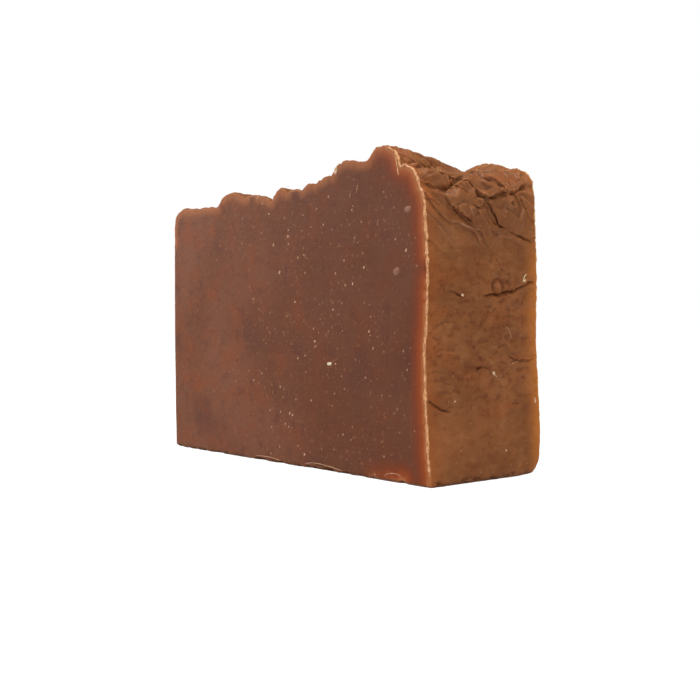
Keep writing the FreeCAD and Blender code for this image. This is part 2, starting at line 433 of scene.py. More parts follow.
# %% [markdown]
# ## Small folds
# Between the big folds the batter is full of small ones, which overlap like scales. At the high end
# they run down to the back, and further left they run along the loaf. Each point has a level, which
# is noise at the high end and climbs steadily further left. Where it passes a whole number the skin
# drops by a small ledge, after which it rises slowly again.

# %% Ledges like scales
FOLD_AXES = np.array([[1, 0, 0], [0, 0.8, -0.6], [0, 0.6, 0.8]])     # across x, along a fold, across it
LEDGE_SIZES = np.array([6.0, 11.0, 4.2])        # of the noise at the high end, along those axes
LONG_FOLDS = np.array([8.0, 15.0, 8.0])         # of the noise further left, along x, y and z
LEDGE_SPACING = 4.5
FIRST_LEDGE = 84            # the sum of x and z where the climbing level is 0
DROP_START = 0.86           # a ledge drops in the last part of its level

folded = np.clip(top + shoulder, 0, 1)
level = 2.0 * lumps(places @ FOLD_AXES.T, LEDGE_SIZES, 2, 20, folded)
climbing = ((places[:, 0] + places[:, 2] - FIRST_LEDGE) / LEDGE_SPACING
            + 1.1 * lumps(places, LONG_FOLDS, 2, 21, folded))
level += (climbing - level) * step(30, 18, places[:, 0])
rising = level - np.floor(level)
ledge = rising * step(1.0, DROP_START, rising)
push += (0.45 * top + 0.6 * shoulder) * (ledge - 0.5)
print("ledges cover", int((folded > 0.3).sum()), "points")

# %% [markdown]
# ## Dimples and the foot
# Air between the batter and the mould left small dimples in the walls, wider along the loaf than
# high. The lower edges crumbled where the wire reached the board. Noise that is cut off low down
# gives the dimples, and along the foot it takes small bites.

# %% Dimples in the walls, and the ragged lower edges
WIDE_IN_Y = np.array([1.3, 2.2, 1.3])
dimpled = step(0.15, 0.45, lumps(places, WIDE_IN_Y, 2, 16, walls)) * walls
dimpled *= step(6, 20, places[:, 2]) * step(50, 34, places[:, 2])
push -= 0.2 * dimpled

CHIPS = [(5, 7, 14, 16), (34.5, 35.2, 36.3, 37)]    # where along x the front's lower edge is chipped
EDGE = 1.4                  # how far a wire cut's edge reaches, in millimetres
near_cut = step(EDGE, 0.2, np.minimum(front_gap, back_gap))
foot = step(1.6, 0.3, places[:, 2]) * np.maximum(near_cut, walls)
push -= 0.9 * foot * step(-0.2, 0.5, lumps(places, 2.0, 3, 14, foot))
chipped = sum(step(start, deep, places[:, 0]) * step(end, still_deep, places[:, 0])
              for start, deep, still_deep, end in CHIPS)
push -= 0.5 * foot * chipped * (front_gap < EDGE)
push += 0.12 * near_cut * right_wall * lumps(places, 0.9, 1, 17, near_cut * right_wall)
print("dimples cover", int((dimpled > 0.3).sum()), "points")


# %% [markdown]
# ## The lines pressed in
# Each point asks for its nearest line, and on which side of it it lies. On one side the batter is
# raised, most at the line, and on the other a narrow groove is sunk. A line drawn by pixels is too
# smooth for soap, so the distances are measured from places that noise has shifted a little.

# %% Pressing the lines in
def beside(places, out, path):
    """For each point: its distance from a path, positive on the left of it as seen from outside, and
    how far along the path it is, from 0 to 1."""
    distance = np.full(len(places), 1e9)
    left = np.ones(len(places))
    along = np.zeros(len(places))
    lengths = [np.linalg.norm(b - a) for a, b in zip(path, path[1:])]
    walked = 0.0
    for start, end, length in zip(path, path[1:], lengths):
        run = (end - start) / length
        at = np.clip((places - start) @ run, 0, length)
        away = places - start - at[:, None] * run
        far = np.linalg.norm(away, axis=1)
        nearer = far < distance
        side = np.einsum("ij,ij->i", away, np.cross(out, run))
        distance = np.where(nearer, far, distance)
        left = np.where(nearer, np.where(side < 0, -1.0, 1.0), left)
        along = np.where(nearer, (walked + at) / sum(lengths), along)
        walked += length
    return distance * left, along


def around(path, margin):
    """The points that lie in a path's box, or within a margin of it."""
    return np.flatnonzero(np.all((places > np.min(path, 0) - margin)
                                 & (places < np.max(path, 0) + margin), axis=1))


warped = places + 0.3 * np.stack([lumps(places, 1.4, 2, seed) for seed in (5, 6, 7)], 1)
crease = 0.5 * wrinkled


def press_line(path, height, fade, depth, width):
    """Raises the batter on one side of a path and sinks a groove on the other."""
    margin = 4 * fade + 1
    near = around(path, margin)
    aside, along = beside(warped[near], out[near], path)
    if height < 0:
        aside = -aside
    ends = step(0, 0.12, along) * step(1, 0.9, along)
    ends *= step(margin, margin * 0.7, np.abs(aside))
    rough = np.clip(0.85 + 0.7 * lumps(places[near], 1.8, 2, 15), 0.25, 1.4)
    lip = step(-0.1, 0.3, aside)
    raised = abs(height) * lip * np.exp(-np.maximum(aside, 0) / fade)
    sunk = np.exp(-np.abs(np.minimum(aside, 0) / width) ** 1.5) * (1 - lip) * rough
    other_lip = 0.12 * rough * np.exp(-((aside + 3 * width) / (1.6 * width)) ** 2)
    push[near] += ends * (1.15 * raised + other_lip - 0.8 * depth * sunk)
    crease[near] = np.maximum(crease[near], ends * sunk * min(1, 1.5 * depth))


for line, path in lines:
    press_line(path, line.height, line.fade, line.depth, line.width)
print("creases cover", int((crease > 0.3).sum()), "points")

# %% [markdown]
# ## Rolls, pebbles and pits
# Between the lines the batter is round: a spoonful that slid makes a roll, and stiff crumbs of it
# make pebbles, which stick in a hollow above the long crack of the wall. Burst bubbles left pits. A
# roll is raised along a path, and a pebble or a pit is a round bump, up or down.

# %% Round rolls between the lines
Roll = namedtuple("Roll", "path height width")
ROLLS = [
    Roll([(403, 160), (418, 164), (432, 167.5)], 0.5, 1.4),
    Roll([(400, 151), (414, 156), (430, 161), (446, 166)], 0.5, 1.4),
    Roll([(422, 172), (430, 175.5), (440, 181), (448, 184)], 0.7, 1.5),
    Roll([(450, 190), (456, 198), (464, 207), (471, 215)], 0.6, 2.4),
    Roll([(467, 174), (478, 180.5), (489, 187), (500, 190)], 0.8, 1.4),
    Roll([(482, 169), (495, 168), (509, 172), (521, 178)], 0.3, 2.2),
    Roll([(506, 201), (515, 212), (525, 224)], 0.35, 3.0),
    Roll([(487, 203), (484, 211), (479, 218)], 0.35, 1.0),
]
for roll in ROLLS:
    path = rounded([seen_at(x, y) for x, y in roll.path])
    near = around(path, 3 * roll.width)
    aside, along = beside(warped[near], out[near], path)
    raised = roll.height * np.exp(-(aside / roll.width) ** 2)
    push[near] += raised * step(0, 0.15, along) * step(1, 0.85, along)
print("rolls:", len(ROLLS))

# %% Pebbles and pits
Bump = namedtuple("Bump", "place radius height")
bumps = [
    Bump(seen_at(499, 287), 3.0, -0.6),         # a hollow above the long crack, with pebbles in it
    Bump(seen_at(513, 281), 3.2, -0.6),
    Bump(seen_at(498.0, 287.5), 1.5, 0.9),
    Bump(seen_at(506.5, 286.0), 0.9, 0.5),
    Bump(seen_at(513, 282), 1.0, 0.6),
    Bump(seen_at(520.5, 277.5), 1.1, 0.5),
    Bump(seen_at(504, 277), 1.4, 0.4),
    Bump(seen_at(480, 201), 1.0, 0.6),
    Bump(seen_at(486.5, 206), 1.0, 0.5),
    Bump(seen_at(512, 176), 0.6, -0.3),
    Bump(seen_at(518, 176.5), 0.5, 0.3),
    Bump(seen_at(526, 178), 3.2, 0.6),          # the sharp corner of the back lump
    Bump(seen_at(399, 165.5), 1.2, -0.8),       # the notch between the peak and the roll beside it
]


def pit(side, y, z):
    """A small pit in a wall, of a random size and depth."""
    size = random.uniform(0.2, 0.5)
    return Bump(wall_place(side, y, z), size, random.uniform(-0.25, -0.08) * size * 2)


bumps += [pit(RIGHT, random.uniform(-14, 14), random.triangular(3, 52, 26)) for _ in range(110)]
bumps += [pit(LEFT, random.uniform(-14, 14), random.uniform(3, 52)) for _ in range(90)]

PEBBLE_GROOVE = 0.8         # a groove runs around a pebble that is higher than this
pits = 0.6 * dimpled
tree = tree_of(warped)
for bump in bumps:
    for _, i, far in tree.find_range(bump.place, 1.5 * bump.radius):
        share = math.exp(-(1.3 * far / bump.radius) ** 4)
        push[i] += bump.height * share
        if bump.height < 0 and bump.radius < 1:
            pits[i] = max(pits[i], share)
        if bump.height > PEBBLE_GROOVE:
            groove = math.exp(-((far / bump.radius - 1.05) / 0.2) ** 2)
            push[i] -= 0.25 * groove
            crease[i] = max(crease[i], 0.5 * groove)
print("bumps and pits:", len(bumps))

# %% [markdown]
# ## The rubbed corner
# The lower far corner of the bar is rubbed off, to a soft slant. A plane across the corner says how
# far each point has to go in, and the ramp from 0 is a rounded one, which makes the slant soft.

# %% All the pushes at once, and the lower far corner
WORN_CORNER = np.array([44.3, high[1], 0])
INWARD = np.array([-1, -1, 1])
WORN_DEPTH = 3.0
SOFTNESS = 2.0
pushed = places + push[:, None] * out
near_corner = step(8, 5, np.linalg.norm(pushed - WORN_CORNER, axis=1))
past_slant = (WORN_DEPTH - ((pushed - WORN_CORNER) * INWARD).sum(1)
              + 0.6 * lumps(pushed, 2.5, 2, 18, near_corner))
worn = 0.5 * (past_slant + np.sqrt(past_slant ** 2 + SOFTNESS ** 2)) * near_corner
pushed += worn[:, None] / 3 * INWARD

GRAIN_ROOM = np.array([0, 0.08, 0])     # the cuts lie this far inside the box, and the grains stand out
put_places(bar.data, np.clip(pushed, low + GRAIN_ROOM, high - GRAIN_ROOM))
print("rubbed off:", int((worn > 0.5).sum()), "points")

# %% [markdown]
# ## What the paint has to know
# The paint differs between wire cut and skin, along the rims and in the creases. Each of these is
# stored as a number on every point, so it stays in place from all sides and also in an export.

# %% Numbers for the materials
BAND = 5                    # the coloured bands beside a rim end within this, in millimetres
places = places_of(bar.data)
smooth_normals = spread(normals_of(bar.data), edges, 2)
front_gap = places[:, 1] - low[1]
back_gap = high[1] - places[:, 1]
cut = step(0.75, 0.95, np.abs(smooth_normals[:, 1])) * step(0.9, 0.4, np.minimum(front_gap, back_gap))


def distance_to(places, chosen):
    """How far each place is from the nearest chosen one."""
    tree = tree_of(places[chosen])
    return np.array([tree.find(place)[2] for place in places])


between = (cut > 0.1) & (cut < 0.9)
front_rim = distance_to(places, between & (front_gap < 1.2))
back_rim = distance_to(places, between & (back_gap < 1.2))
hollow = np.einsum("ij,ij->i", spread(places, edges, 14) - places, smooth_normals)
print("hollow from", hollow.min().round(2), "to", hollow.max().round(2), "mm")


def keep_number(name, values):
    """Stores a number on every point of the bar."""
    attribute = bar.data.attributes.new(name, "FLOAT", "POINT")
    attribute.data.foreach_set("value", values.astype(np.float32))


keep_number("cut", cut)
keep_number("front_rim", np.minimum(front_rim, BAND))
keep_number("back_rim", np.minimum(back_rim, BAND))
keep_number("crease", np.clip(crease, 0, 1))
keep_number("pits", pits)
keep_number("hollow", hollow)
keep_number("folded", folded)

# %% [markdown]
# ## Thinned to what is needed
# The net has more triangles than the shape needs, and Decimate merges them where it is flat. The
# front's coloured bands fade over a few millimetres of a flat cut, so their points all stay, and so
# do those of both rims.

# %% Thinning
work_on(bar)
bpy.ops.object.mode_set(mode="EDIT")
bpy.ops.mesh.select_all(action="SELECT")
bpy.ops.mesh.quads_convert_to_tris()
bpy.ops.object.mode_set(mode="OBJECT")
print("before thinning", len(bar.data.polygons), "triangles")
banded = (front_rim < BAND) & (cut > 0.05) & ((places[:, 0] > 18) | (places[:, 2] > 38))
banded |= (front_rim < 0.8) | (back_rim < 0.8)
thinned = bar.vertex_groups.new(name="thinned")
thinned.add(np.flatnonzero(~banded).tolist(), 1.0, "REPLACE")
finish_with(bar, "DECIMATE", ratio=min(1, MOST_TRIANGLES / len(bar.data.polygons)), vertex_group="thinned")
put_places(bar.data, np.clip(places_of(bar.data), low, high))
work_on(bar)
bpy.ops.object.shade_smooth()
print("the bar has", len(bar.data.polygons), "triangles and", [a.name for a in bar.data.attributes])

# %% The finished bar in place of the solid
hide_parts("soap_bar")
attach(bar, "root")
print(bar.name, "stands for the solid")


# %% [markdown]
# ## Nodes as sums
# A material is a tree of nodes. By hand, each node and each link takes a step of its own, so one
# small class lets a node's output be added and multiplied like a number, and one method makes any
# other node with its settings and its inputs.

# %% A socket that can be added and multiplied
class Value:
    """A node's output that can be used in sums, such as 1 - mask."""

    def __init__(self, nodes, socket):
        self.nodes, self.socket = nodes, socket

    def other(self, output):
        """Another output of the same node."""
        return Value(self.nodes, self.socket.node.outputs[output])

    def sum_with(self, operation, first, second):
        return self.nodes.node("ShaderNodeMath", {"operation": operation}, {0: first, 1: second})

    def __add__(self, other):
        return self.sum_with("ADD", self, other)

    def __sub__(self, other):
        return self.sum_with("SUBTRACT", self, other)

    def __rsub__(self, other):
        return self.sum_with("SUBTRACT", other, self)

    def __mul__(self, other):
        return self.sum_with("MULTIPLY", self, other)

    def __truediv__(self, other):
        return self.sum_with("DIVIDE", self, other)

    __radd__ = __add__
    __rmul__ = __mul__


class Nodes:
    """A tree whose nodes are made one by one."""

    def __init__(self, tree):
        self.tree = tree

    def plug(self, socket, value):
        """Puts a number, a colour or another node's output into a socket."""
        if isinstance(value, Value):
            self.tree.links.new(value.socket, socket)
        else:
            socket.default_value = value

    def node(self, kind, settings=None, inputs=None, output=0):
        """Makes a node, its settings first, and gives one of its outputs."""
        made = self.tree.nodes.new(kind)
        for name, value in (settings or {}).items():
            setattr(made, name, value)
        for name, value in (inputs or {}).items():
            self.plug(made.inputs[name], value)
        return Value(self, made.outputs[output])


# %% A material and the patterns in it
class Finish(Nodes):
    """A material with its shader."""

    def __init__(self, name):
        self.material = bpy.data.materials.new(name)
        self.material.use_nodes = True
        super().__init__(self.material.node_tree)
        self.shader = self.tree.nodes["Principled BSDF"]
        self.coordinates = self.node("ShaderNodeTexCoord", output="Object")

    def give(self, name, value):
        """Sets or links one of the shader's own sockets."""
        self.plug(self.shader.inputs[name], value)

    def number(self, name):
        """A number stored on the piece's points."""
        return self.node("ShaderNodeAttribute", {"attribute_name": name}, output="Fac")

    def blend(self, mask, first, second):
        """The first colour where the mask is 0 and the second where it is 1."""
        return self.node("ShaderNodeMix", {"data_type": "RGBA"}, {0: mask, 6: first, 7: second}, 2)

    def from_to(self, value, start, end, least=0.0, most=1.0):
        """A smooth step of a value from start to end."""
        return self.node("ShaderNodeMapRange", {"interpolation_type": "SMOOTHSTEP"},
                         {0: value, 1: start, 2: end, 3: least, 4: most})

    def clouds(self, size, detail=3.0, rough=0.55, seed=0.0, wide=1.0):
        """Soft noise from 0 to 1, in clouds of a size in millimetres, wider by a factor along Y."""
        moved = self.node("ShaderNodeVectorMath", {"operation": "MULTIPLY_ADD"},
                          {0: self.coordinates, 1: (1, 1 / wide, 1),
                           2: (seed * 0.137, seed * 0.071, seed * 0.113)})
        return self.node("ShaderNodeTexNoise", {}, {"Vector": moved, "Scale": 1 / (size * MM),
                                                    "Detail": detail, "Roughness": rough})

    def specks(self, flat, spacing, size, seed=0.0, share=1.0, stretch=1.0, turn=0.0):
        """Specks in a plane, 1 in the middle and 0 outside. The spacing and the largest speck's radius
        are in millimetres, only a share of the specks is there, and each is stretched along a line
        that is turned by an angle."""
        wobble = self.node("ShaderNodeTexNoise", {},
                           {"Vector": self.coordinates, "Scale": 1 / (0.7 * MM)}, 1)
        bent = self.node("ShaderNodeVectorMath", {"operation": "MULTIPLY_ADD"},
                         {0: wobble, 1: (1.2 * size * MM,) * 3, 2: flat})
        moved = self.node("ShaderNodeMapping", {"vector_type": "TEXTURE"},
                          {"Vector": bent, "Rotation": (0, 0, turn),
                           "Location": (seed * 0.093, seed * 0.057, 0), "Scale": (stretch, 1, 1)})
        distance = self.node("ShaderNodeTexVoronoi", {"voronoi_dimensions": "2D"},
                             {"Vector": moved, "Scale": 1 / (spacing * MM)}, "Distance")
        red = self.node("ShaderNodeSeparateColor", {}, {0: distance.other("Color")})
        radius = red * (0.6 * size / spacing) + 0.4 * size / spacing
        spot = self.from_to(distance / radius, 1.0, 0.4)
        return spot * self.from_to(red.other("Green"), share, share - 0.02)


def rgb(red, green, blue):
    """A colour as a picture shows it, from 0 to 255, as the renderer needs it."""
    return tuple((c / 255 / 12.92) if c < 10.3 else ((c / 255 + 0.055) / 1.055) ** 2.4
                 for c in (red, green, blue)) + (1,)


# %% [markdown]
# ## Paint
# The inside of the soap is plum-brown and cloudy, with pale specks of bran. The skin is more ochre,
# with darker and more orange patches, and its crests are painted paler, as a painted highlight. Along
# each rim the wire broke the skin: a thin tan line, partly a painted highlight, with a painted orange
# glow on both sides where light goes through. The creases, hollows and pits are painted darker, as
# painted shade. Each layer of paint is one line, which says where it is, how strong it is and its
# colour.

# %% Where things are on the soap
soap = Finish("soap")
cut = soap.number("cut")
front_rim = soap.number("front_rim")
back_rim = soap.number("back_rim")
hollow = soap.number("hollow")
folded = soap.number("folded")

x_place = soap.node("ShaderNodeSeparateXYZ", {}, {0: soap.coordinates})
y_place, z_place = x_place.other("Y"), x_place.other("Z")
to_right = soap.from_to(x_place, 22 * MM, 36 * MM)
to_top = soap.from_to(z_place, 42 * MM, 50 * MM)
to_low = soap.from_to(z_place, 48 * MM, 24 * MM)
# The planes that the specks lie in shift with depth, so the two cuts differ, and the two walls.
on_cut = soap.node("ShaderNodeCombineXYZ", {}, {0: x_place + y_place * 3.7, 1: z_place + y_place * 2.1})
on_wall = soap.node("ShaderNodeCombineXYZ", {}, {0: y_place + x_place * 3.7, 1: z_place})

# %% Inside, as the wire shows it
broad = soap.clouds(26, 2, 0.5, 1)
middle = soap.clouds(7, 3, 0.6, 2)
small = soap.clouds(3.2, 3, 0.6, 12)
fine = soap.clouds(1.1, 3, 0.6, 3)
inside = soap.blend(soap.from_to(broad, 0.35, 0.65), rgb(102, 56, 30), rgb(114, 67, 44))
inside = soap.blend(soap.from_to(middle, 0.45, 0.7) * 0.7, inside, rgb(122, 60, 26))
inside = soap.blend(soap.from_to(small, 0.5, 0.72) * 0.65, inside, rgb(90, 50, 36))
inside = soap.blend(soap.from_to(fine, 0.45, 0.75) * 0.25, inside, rgb(134, 82, 52))
# Painted shade: the cut is painted darker towards the right, where less light falls on it.
inside = soap.blend(soap.from_to(x_place, -34 * MM, 30 * MM) * 0.58, inside, rgb(84, 42, 20))
stains = soap.from_to(soap.clouds(16, 2, 0.5, 14), 0.5, 0.68)
inside = soap.blend(stains * to_low * 0.4, inside, rgb(78, 42, 30))
# The specks of bran come in drifts, with fewer at the left end.
drifts = soap.from_to(soap.clouds(9, 2, 0.5, 4), 0.38, 0.62, 0.25, 1.0)
many = drifts * soap.from_to(x_place, -36 * MM, -8 * MM, 0.3, 1.0)
inside = soap.blend(soap.specks(on_cut, 2.3, 0.55, 2, 0.6) * many * 0.4, inside, rgb(146, 88, 56))
inside = soap.blend(soap.specks(on_cut, 1.0, 0.17, 3, 0.5) * many * 0.42, inside, rgb(176, 124, 92))
inside = soap.blend(soap.specks(on_cut, 3.1, 0.34, 1, 0.55) * many * 0.68, inside, rgb(190, 140, 108))
splinters = soap.specks(on_cut, 2.6, 0.13, 5, 0.5, 4.0, 1.0)
inside = soap.blend(splinters * many * 0.5, inside, rgb(180, 134, 104))
inside = soap.blend(soap.specks(on_cut, 3.6, 0.2, 6, 0.7) * 0.75, inside, rgb(46, 24, 16))
print("nodes for the inside:", len(soap.tree.nodes))

# %% The skin on the walls and the top
patches = soap.clouds(11, 3, 0.55, 5, 1.6)
mottled = soap.clouds(2.4, 3, 0.6, 11, 1.8)
speckle = soap.clouds(1.1, 3, 0.6, 6, 1.8)
skin = soap.blend(soap.from_to(patches, 0.35, 0.65), rgb(112, 66, 32), rgb(126, 76, 40))
skin = soap.blend(soap.from_to(soap.clouds(5, 2, 0.5, 7, 1.6), 0.5, 0.75) * 0.4, skin, rgb(138, 70, 28))
skin = soap.blend(soap.from_to(mottled, 0.5, 0.7) * 0.5, skin, rgb(100, 50, 22))
skin = soap.blend(soap.from_to(mottled, 0.5, 0.3) * 0.4, skin, rgb(142, 92, 54))
skin = soap.blend(soap.from_to(speckle, 0.52, 0.7) * 0.4, skin, rgb(94, 48, 18))
# Painted shade: the pits and the dimples in the walls are painted darker.
skin = soap.blend(soap.number("pits") * 0.5, skin, rgb(94, 44, 16))
skin = soap.blend(soap.specks(on_wall, 2.4, 0.3, 5, 0.5) * 0.35, skin, rgb(170, 118, 76))
# Painted highlight: the crests of the folds are painted paler.
crest_highlight = soap.from_to(hollow, -0.04, -0.24)
skin = soap.blend(crest_highlight * (folded * 0.3 + 0.06), skin, rgb(168, 114, 74))
skin = soap.blend(folded * to_top * 0.2, skin, rgb(122, 76, 40))

colour = soap.blend(cut, skin, inside)

# %% Rims: painted glow where light goes through, and a tan line of broken skin and painted highlight
front_rim_glow = soap.from_to(front_rim, 4.8, 0.8)
back_rim_glow = soap.from_to(back_rim + (small - 0.5) * 1.6, 5.0, -0.6)
# Painted glow: orange and amber bands beside the rims, where light goes through the thin edges.
colour = soap.blend(front_rim_glow * cut * to_right * 0.9, colour, rgb(122, 47, 6))
colour = soap.blend(soap.from_to(front_rim, 2.6, 0.0) * cut * to_right * 0.6, colour, rgb(156, 74, 18))
top_rim_glow = soap.from_to(front_rim, 2.3, 0.0) * cut * to_top * (1 - to_right * 0.6)
colour = soap.blend(top_rim_glow * 0.65, colour, rgb(162, 98, 56))
colour = soap.blend(front_rim_glow * (1 - cut) * to_right * 0.45, colour, rgb(142, 76, 28))
colour = soap.blend(back_rim_glow * (1 - cut) * (1 - folded * 0.75) * 0.85, colour, rgb(176, 104, 40))
# The tan line on the rim: partly the skin that the wire broke, partly a painted highlight along the
# rounded rim.
colour = soap.blend(soap.from_to(front_rim, 0.9, 0.0) * to_right * 0.5, colour, rgb(176, 116, 74))

# %% Painted shade in the creases and hollows, and a painted shadow along the foot
# Painted shade: the creases, grooves and wrinkles are painted dark.
colour = soap.blend(soap.number("crease") * 0.7, colour, rgb(72, 34, 14))
# Painted shade: the hollows are painted darker.
colour = soap.blend(soap.from_to(hollow, 0.04, 0.26) * 0.5, colour, rgb(84, 42, 20))
# Painted shadow: a dark ragged line along the foot, where the bar meets the paper.
foot_shadow = soap.from_to(z_place, 1.1 * MM, 0.3 * MM) * soap.from_to(small, 0.4, 0.6, 0.3, 1.0)
colour = soap.blend(foot_shadow * 0.7, colour, rgb(58, 32, 20))
soap.give("Base Color", colour)

# %% A waxy surface, into which light goes a little way
uneven = (fine * 0.06 + soap.clouds(0.35, 2, 0.6, 10) * 0.03 + speckle * 0.08
          + mottled * 0.12 * (1 - cut))
bump = soap.node("ShaderNodeBump", {}, {"Strength": 0.6, "Distance": MM, "Height": uneven})
soap.give("Normal", bump)
soap.give("Roughness", 0.5 + soap.clouds(2.5, 3, 0.6, 9) * 0.2 - cut * 0.06)
soap.give("Specular IOR Level", 0.15)
soap.give("Coat Weight", folded * (1 - cut) * 0.12)
soap.give("Coat Roughness", 0.42)
soap.give("Subsurface Weight", 0.25)
soap.give("Subsurface Radius", (1.0, 0.42, 0.2))
soap.give("Subsurface Scale", 0.0022)
bar.data.materials.append(soap.material)
print("nodes of the soap:", len(soap.tree.nodes))


# %% [markdown]
# ## Bran, husk and burr
# What stands on the soap is pale and dry: bits of bran and husk, and the skin that the wire tore.
# They differ only in colour, so one function makes them all, from two colours that noise mixes.

# %% Dry finishes
def bran(name, dark, light):
    """A pale, dry material for what stands on the soap, in two colours."""
    finish = Finish(name)
    mix = finish.from_to(finish.clouds(0.8, 2, 0.6, 8), 0.35, 0.65)
    finish.give("Base Color", finish.blend(mix, dark, light))
    finish.give("Roughness", finish.clouds(0.5, 2, 0.6, 9) * 0.2 + 0.45)
    finish.give("Subsurface Weight", 0.3)
    finish.give("Subsurface Radius", (1.0, 0.5, 0.25))
    finish.give("Subsurface Scale", 0.001)
    return finish.material


# The burrs' pale colours are partly a painted highlight on the near rim and a painted glow on the far one.
burr_and_highlight_finish = bran("burr", rgb(168, 110, 66), rgb(210, 154, 104))
far_burr_and_glow_finish = bran("far_burr", rgb(164, 106, 50), rgb(204, 150, 84))
white_finish = bran("seed", rgb(206, 174, 136), rgb(232, 214, 186))
pale_finish = bran("bran", rgb(170, 124, 92), rgb(206, 168, 136))
tan_finish = bran("husk", rgb(146, 96, 66), rgb(176, 128, 94))
faint_finish = bran("faint", rgb(116, 70, 48), rgb(132, 82, 56))


# %% [markdown]
# ## The burr along the rims
# The wire tore the skin a little where it left the soap, so a thin pale burr runs along the rim. Its
# paleness is partly a painted highlight along the rounded rim, and at the far rim partly a painted
# glow where light goes through the thin edge. It is a strand up to half a millimetre thick, half of
# it sunk in the soap, and we lay it along the rim with rays, so it follows every fold that the cut
# crosses.

# %% Strands
def add_piece(piece, material):
    """Keeps a small piece inside the box, and makes it part of the bar."""
    put_places(piece.data, np.clip(places_of(piece.data), low, high))
    piece.data.materials.append(material)
    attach(piece, "root")


def strand(name, path, radius, material, uneven=0.0):
    """A thin round strand along a path, both in millimetres, with thin ends."""
    bpy.ops.object.select_all(action="DESELECT")
    bpy.ops.curve.primitive_nurbs_path_add()
    piece = bpy.context.object
    piece.name = name
    piece.data.splines.clear()
    spline = piece.data.splines.new("POLY")
    spline.points.add(len(path) - 1)
    for i, place in enumerate(path):
        spline.points[i].co = (*(place * MM), 1)
        to_end = min(i, len(path) - 1 - i)
        knobbly = 1 + uneven * noise.noise(Vector(place) / 0.8)
        spline.points[i].radius = min(1, 0.3 + 0.3 * to_end) * knobbly
    piece.data.bevel_depth = radius * MM
    piece.data.bevel_resolution = 2
    piece.data.use_fill_caps = True
    bpy.ops.object.convert(target="MESH")
    piece = bpy.context.object
    bpy.ops.object.shade_smooth()
    add_piece(piece, material)
    print(name, len(piece.data.polygons), "faces")


# %% Burrs along both rims, and in the notch beside the peak
RAYS = 900
RAYS_MEET = (28, 25)        # x and z of the point that the rays go to, in millimetres
POINTS_APART = 0.35


def rim_path(y, start, end):
    """Places along the rim of a cut, between two angles in degrees around that point."""
    path = []
    for angle in np.radians(np.linspace(start, end, RAYS)):
        away = Vector((math.cos(angle), 0, math.sin(angle)))
        place = landing((Vector((RAYS_MEET[0], y, RAYS_MEET[1])) + away * 90) * MM, -away)
        if place is None or place[2] <= 0.4:
            continue
        if not path or np.linalg.norm(place - path[-1]) > POINTS_APART:
            path.append(place)
    return path


strand("burr_front", rim_path(low[1] + 0.3, -56, 86), 0.24, burr_and_highlight_finish, 0.9)
strand("burr_back", rim_path(high[1] - 0.25, -56, 92), 0.16, far_burr_and_glow_finish, 0.7)
notch = rounded([seen_at(395.5, 156), seen_at(396.5, 162), seen_at(397.5, 168), seen_at(398.5, 175)])
strand("burr_notch", notch, 0.13, burr_and_highlight_finish, 0.6)

# %% [markdown]
# ## Bran and husks
# Bits of bran and husk were stirred into the batter, and some show where the wire cut through or
# dragged them out. One flat grain is made from a sphere, and each copy lies on the soap at the place
# that a pixel of the photograph shows.

# %% Grains on the bar
bpy.ops.object.select_all(action="DESELECT")
bpy.ops.mesh.primitive_ico_sphere_add(subdivisions=2, radius=0.5 * MM)
grain = bpy.context.object
grain.name = "grain_model"
corners = places_of(grain.data)
put_places(grain.data, corners * (1 + 0.3 * lumps(corners, 0.4, 1, 30)[:, None]))
bpy.ops.object.shade_smooth()

GRAIN_THICKNESS = 0.2
Grain = namedtuple("Grain", "x y length width turn finish")
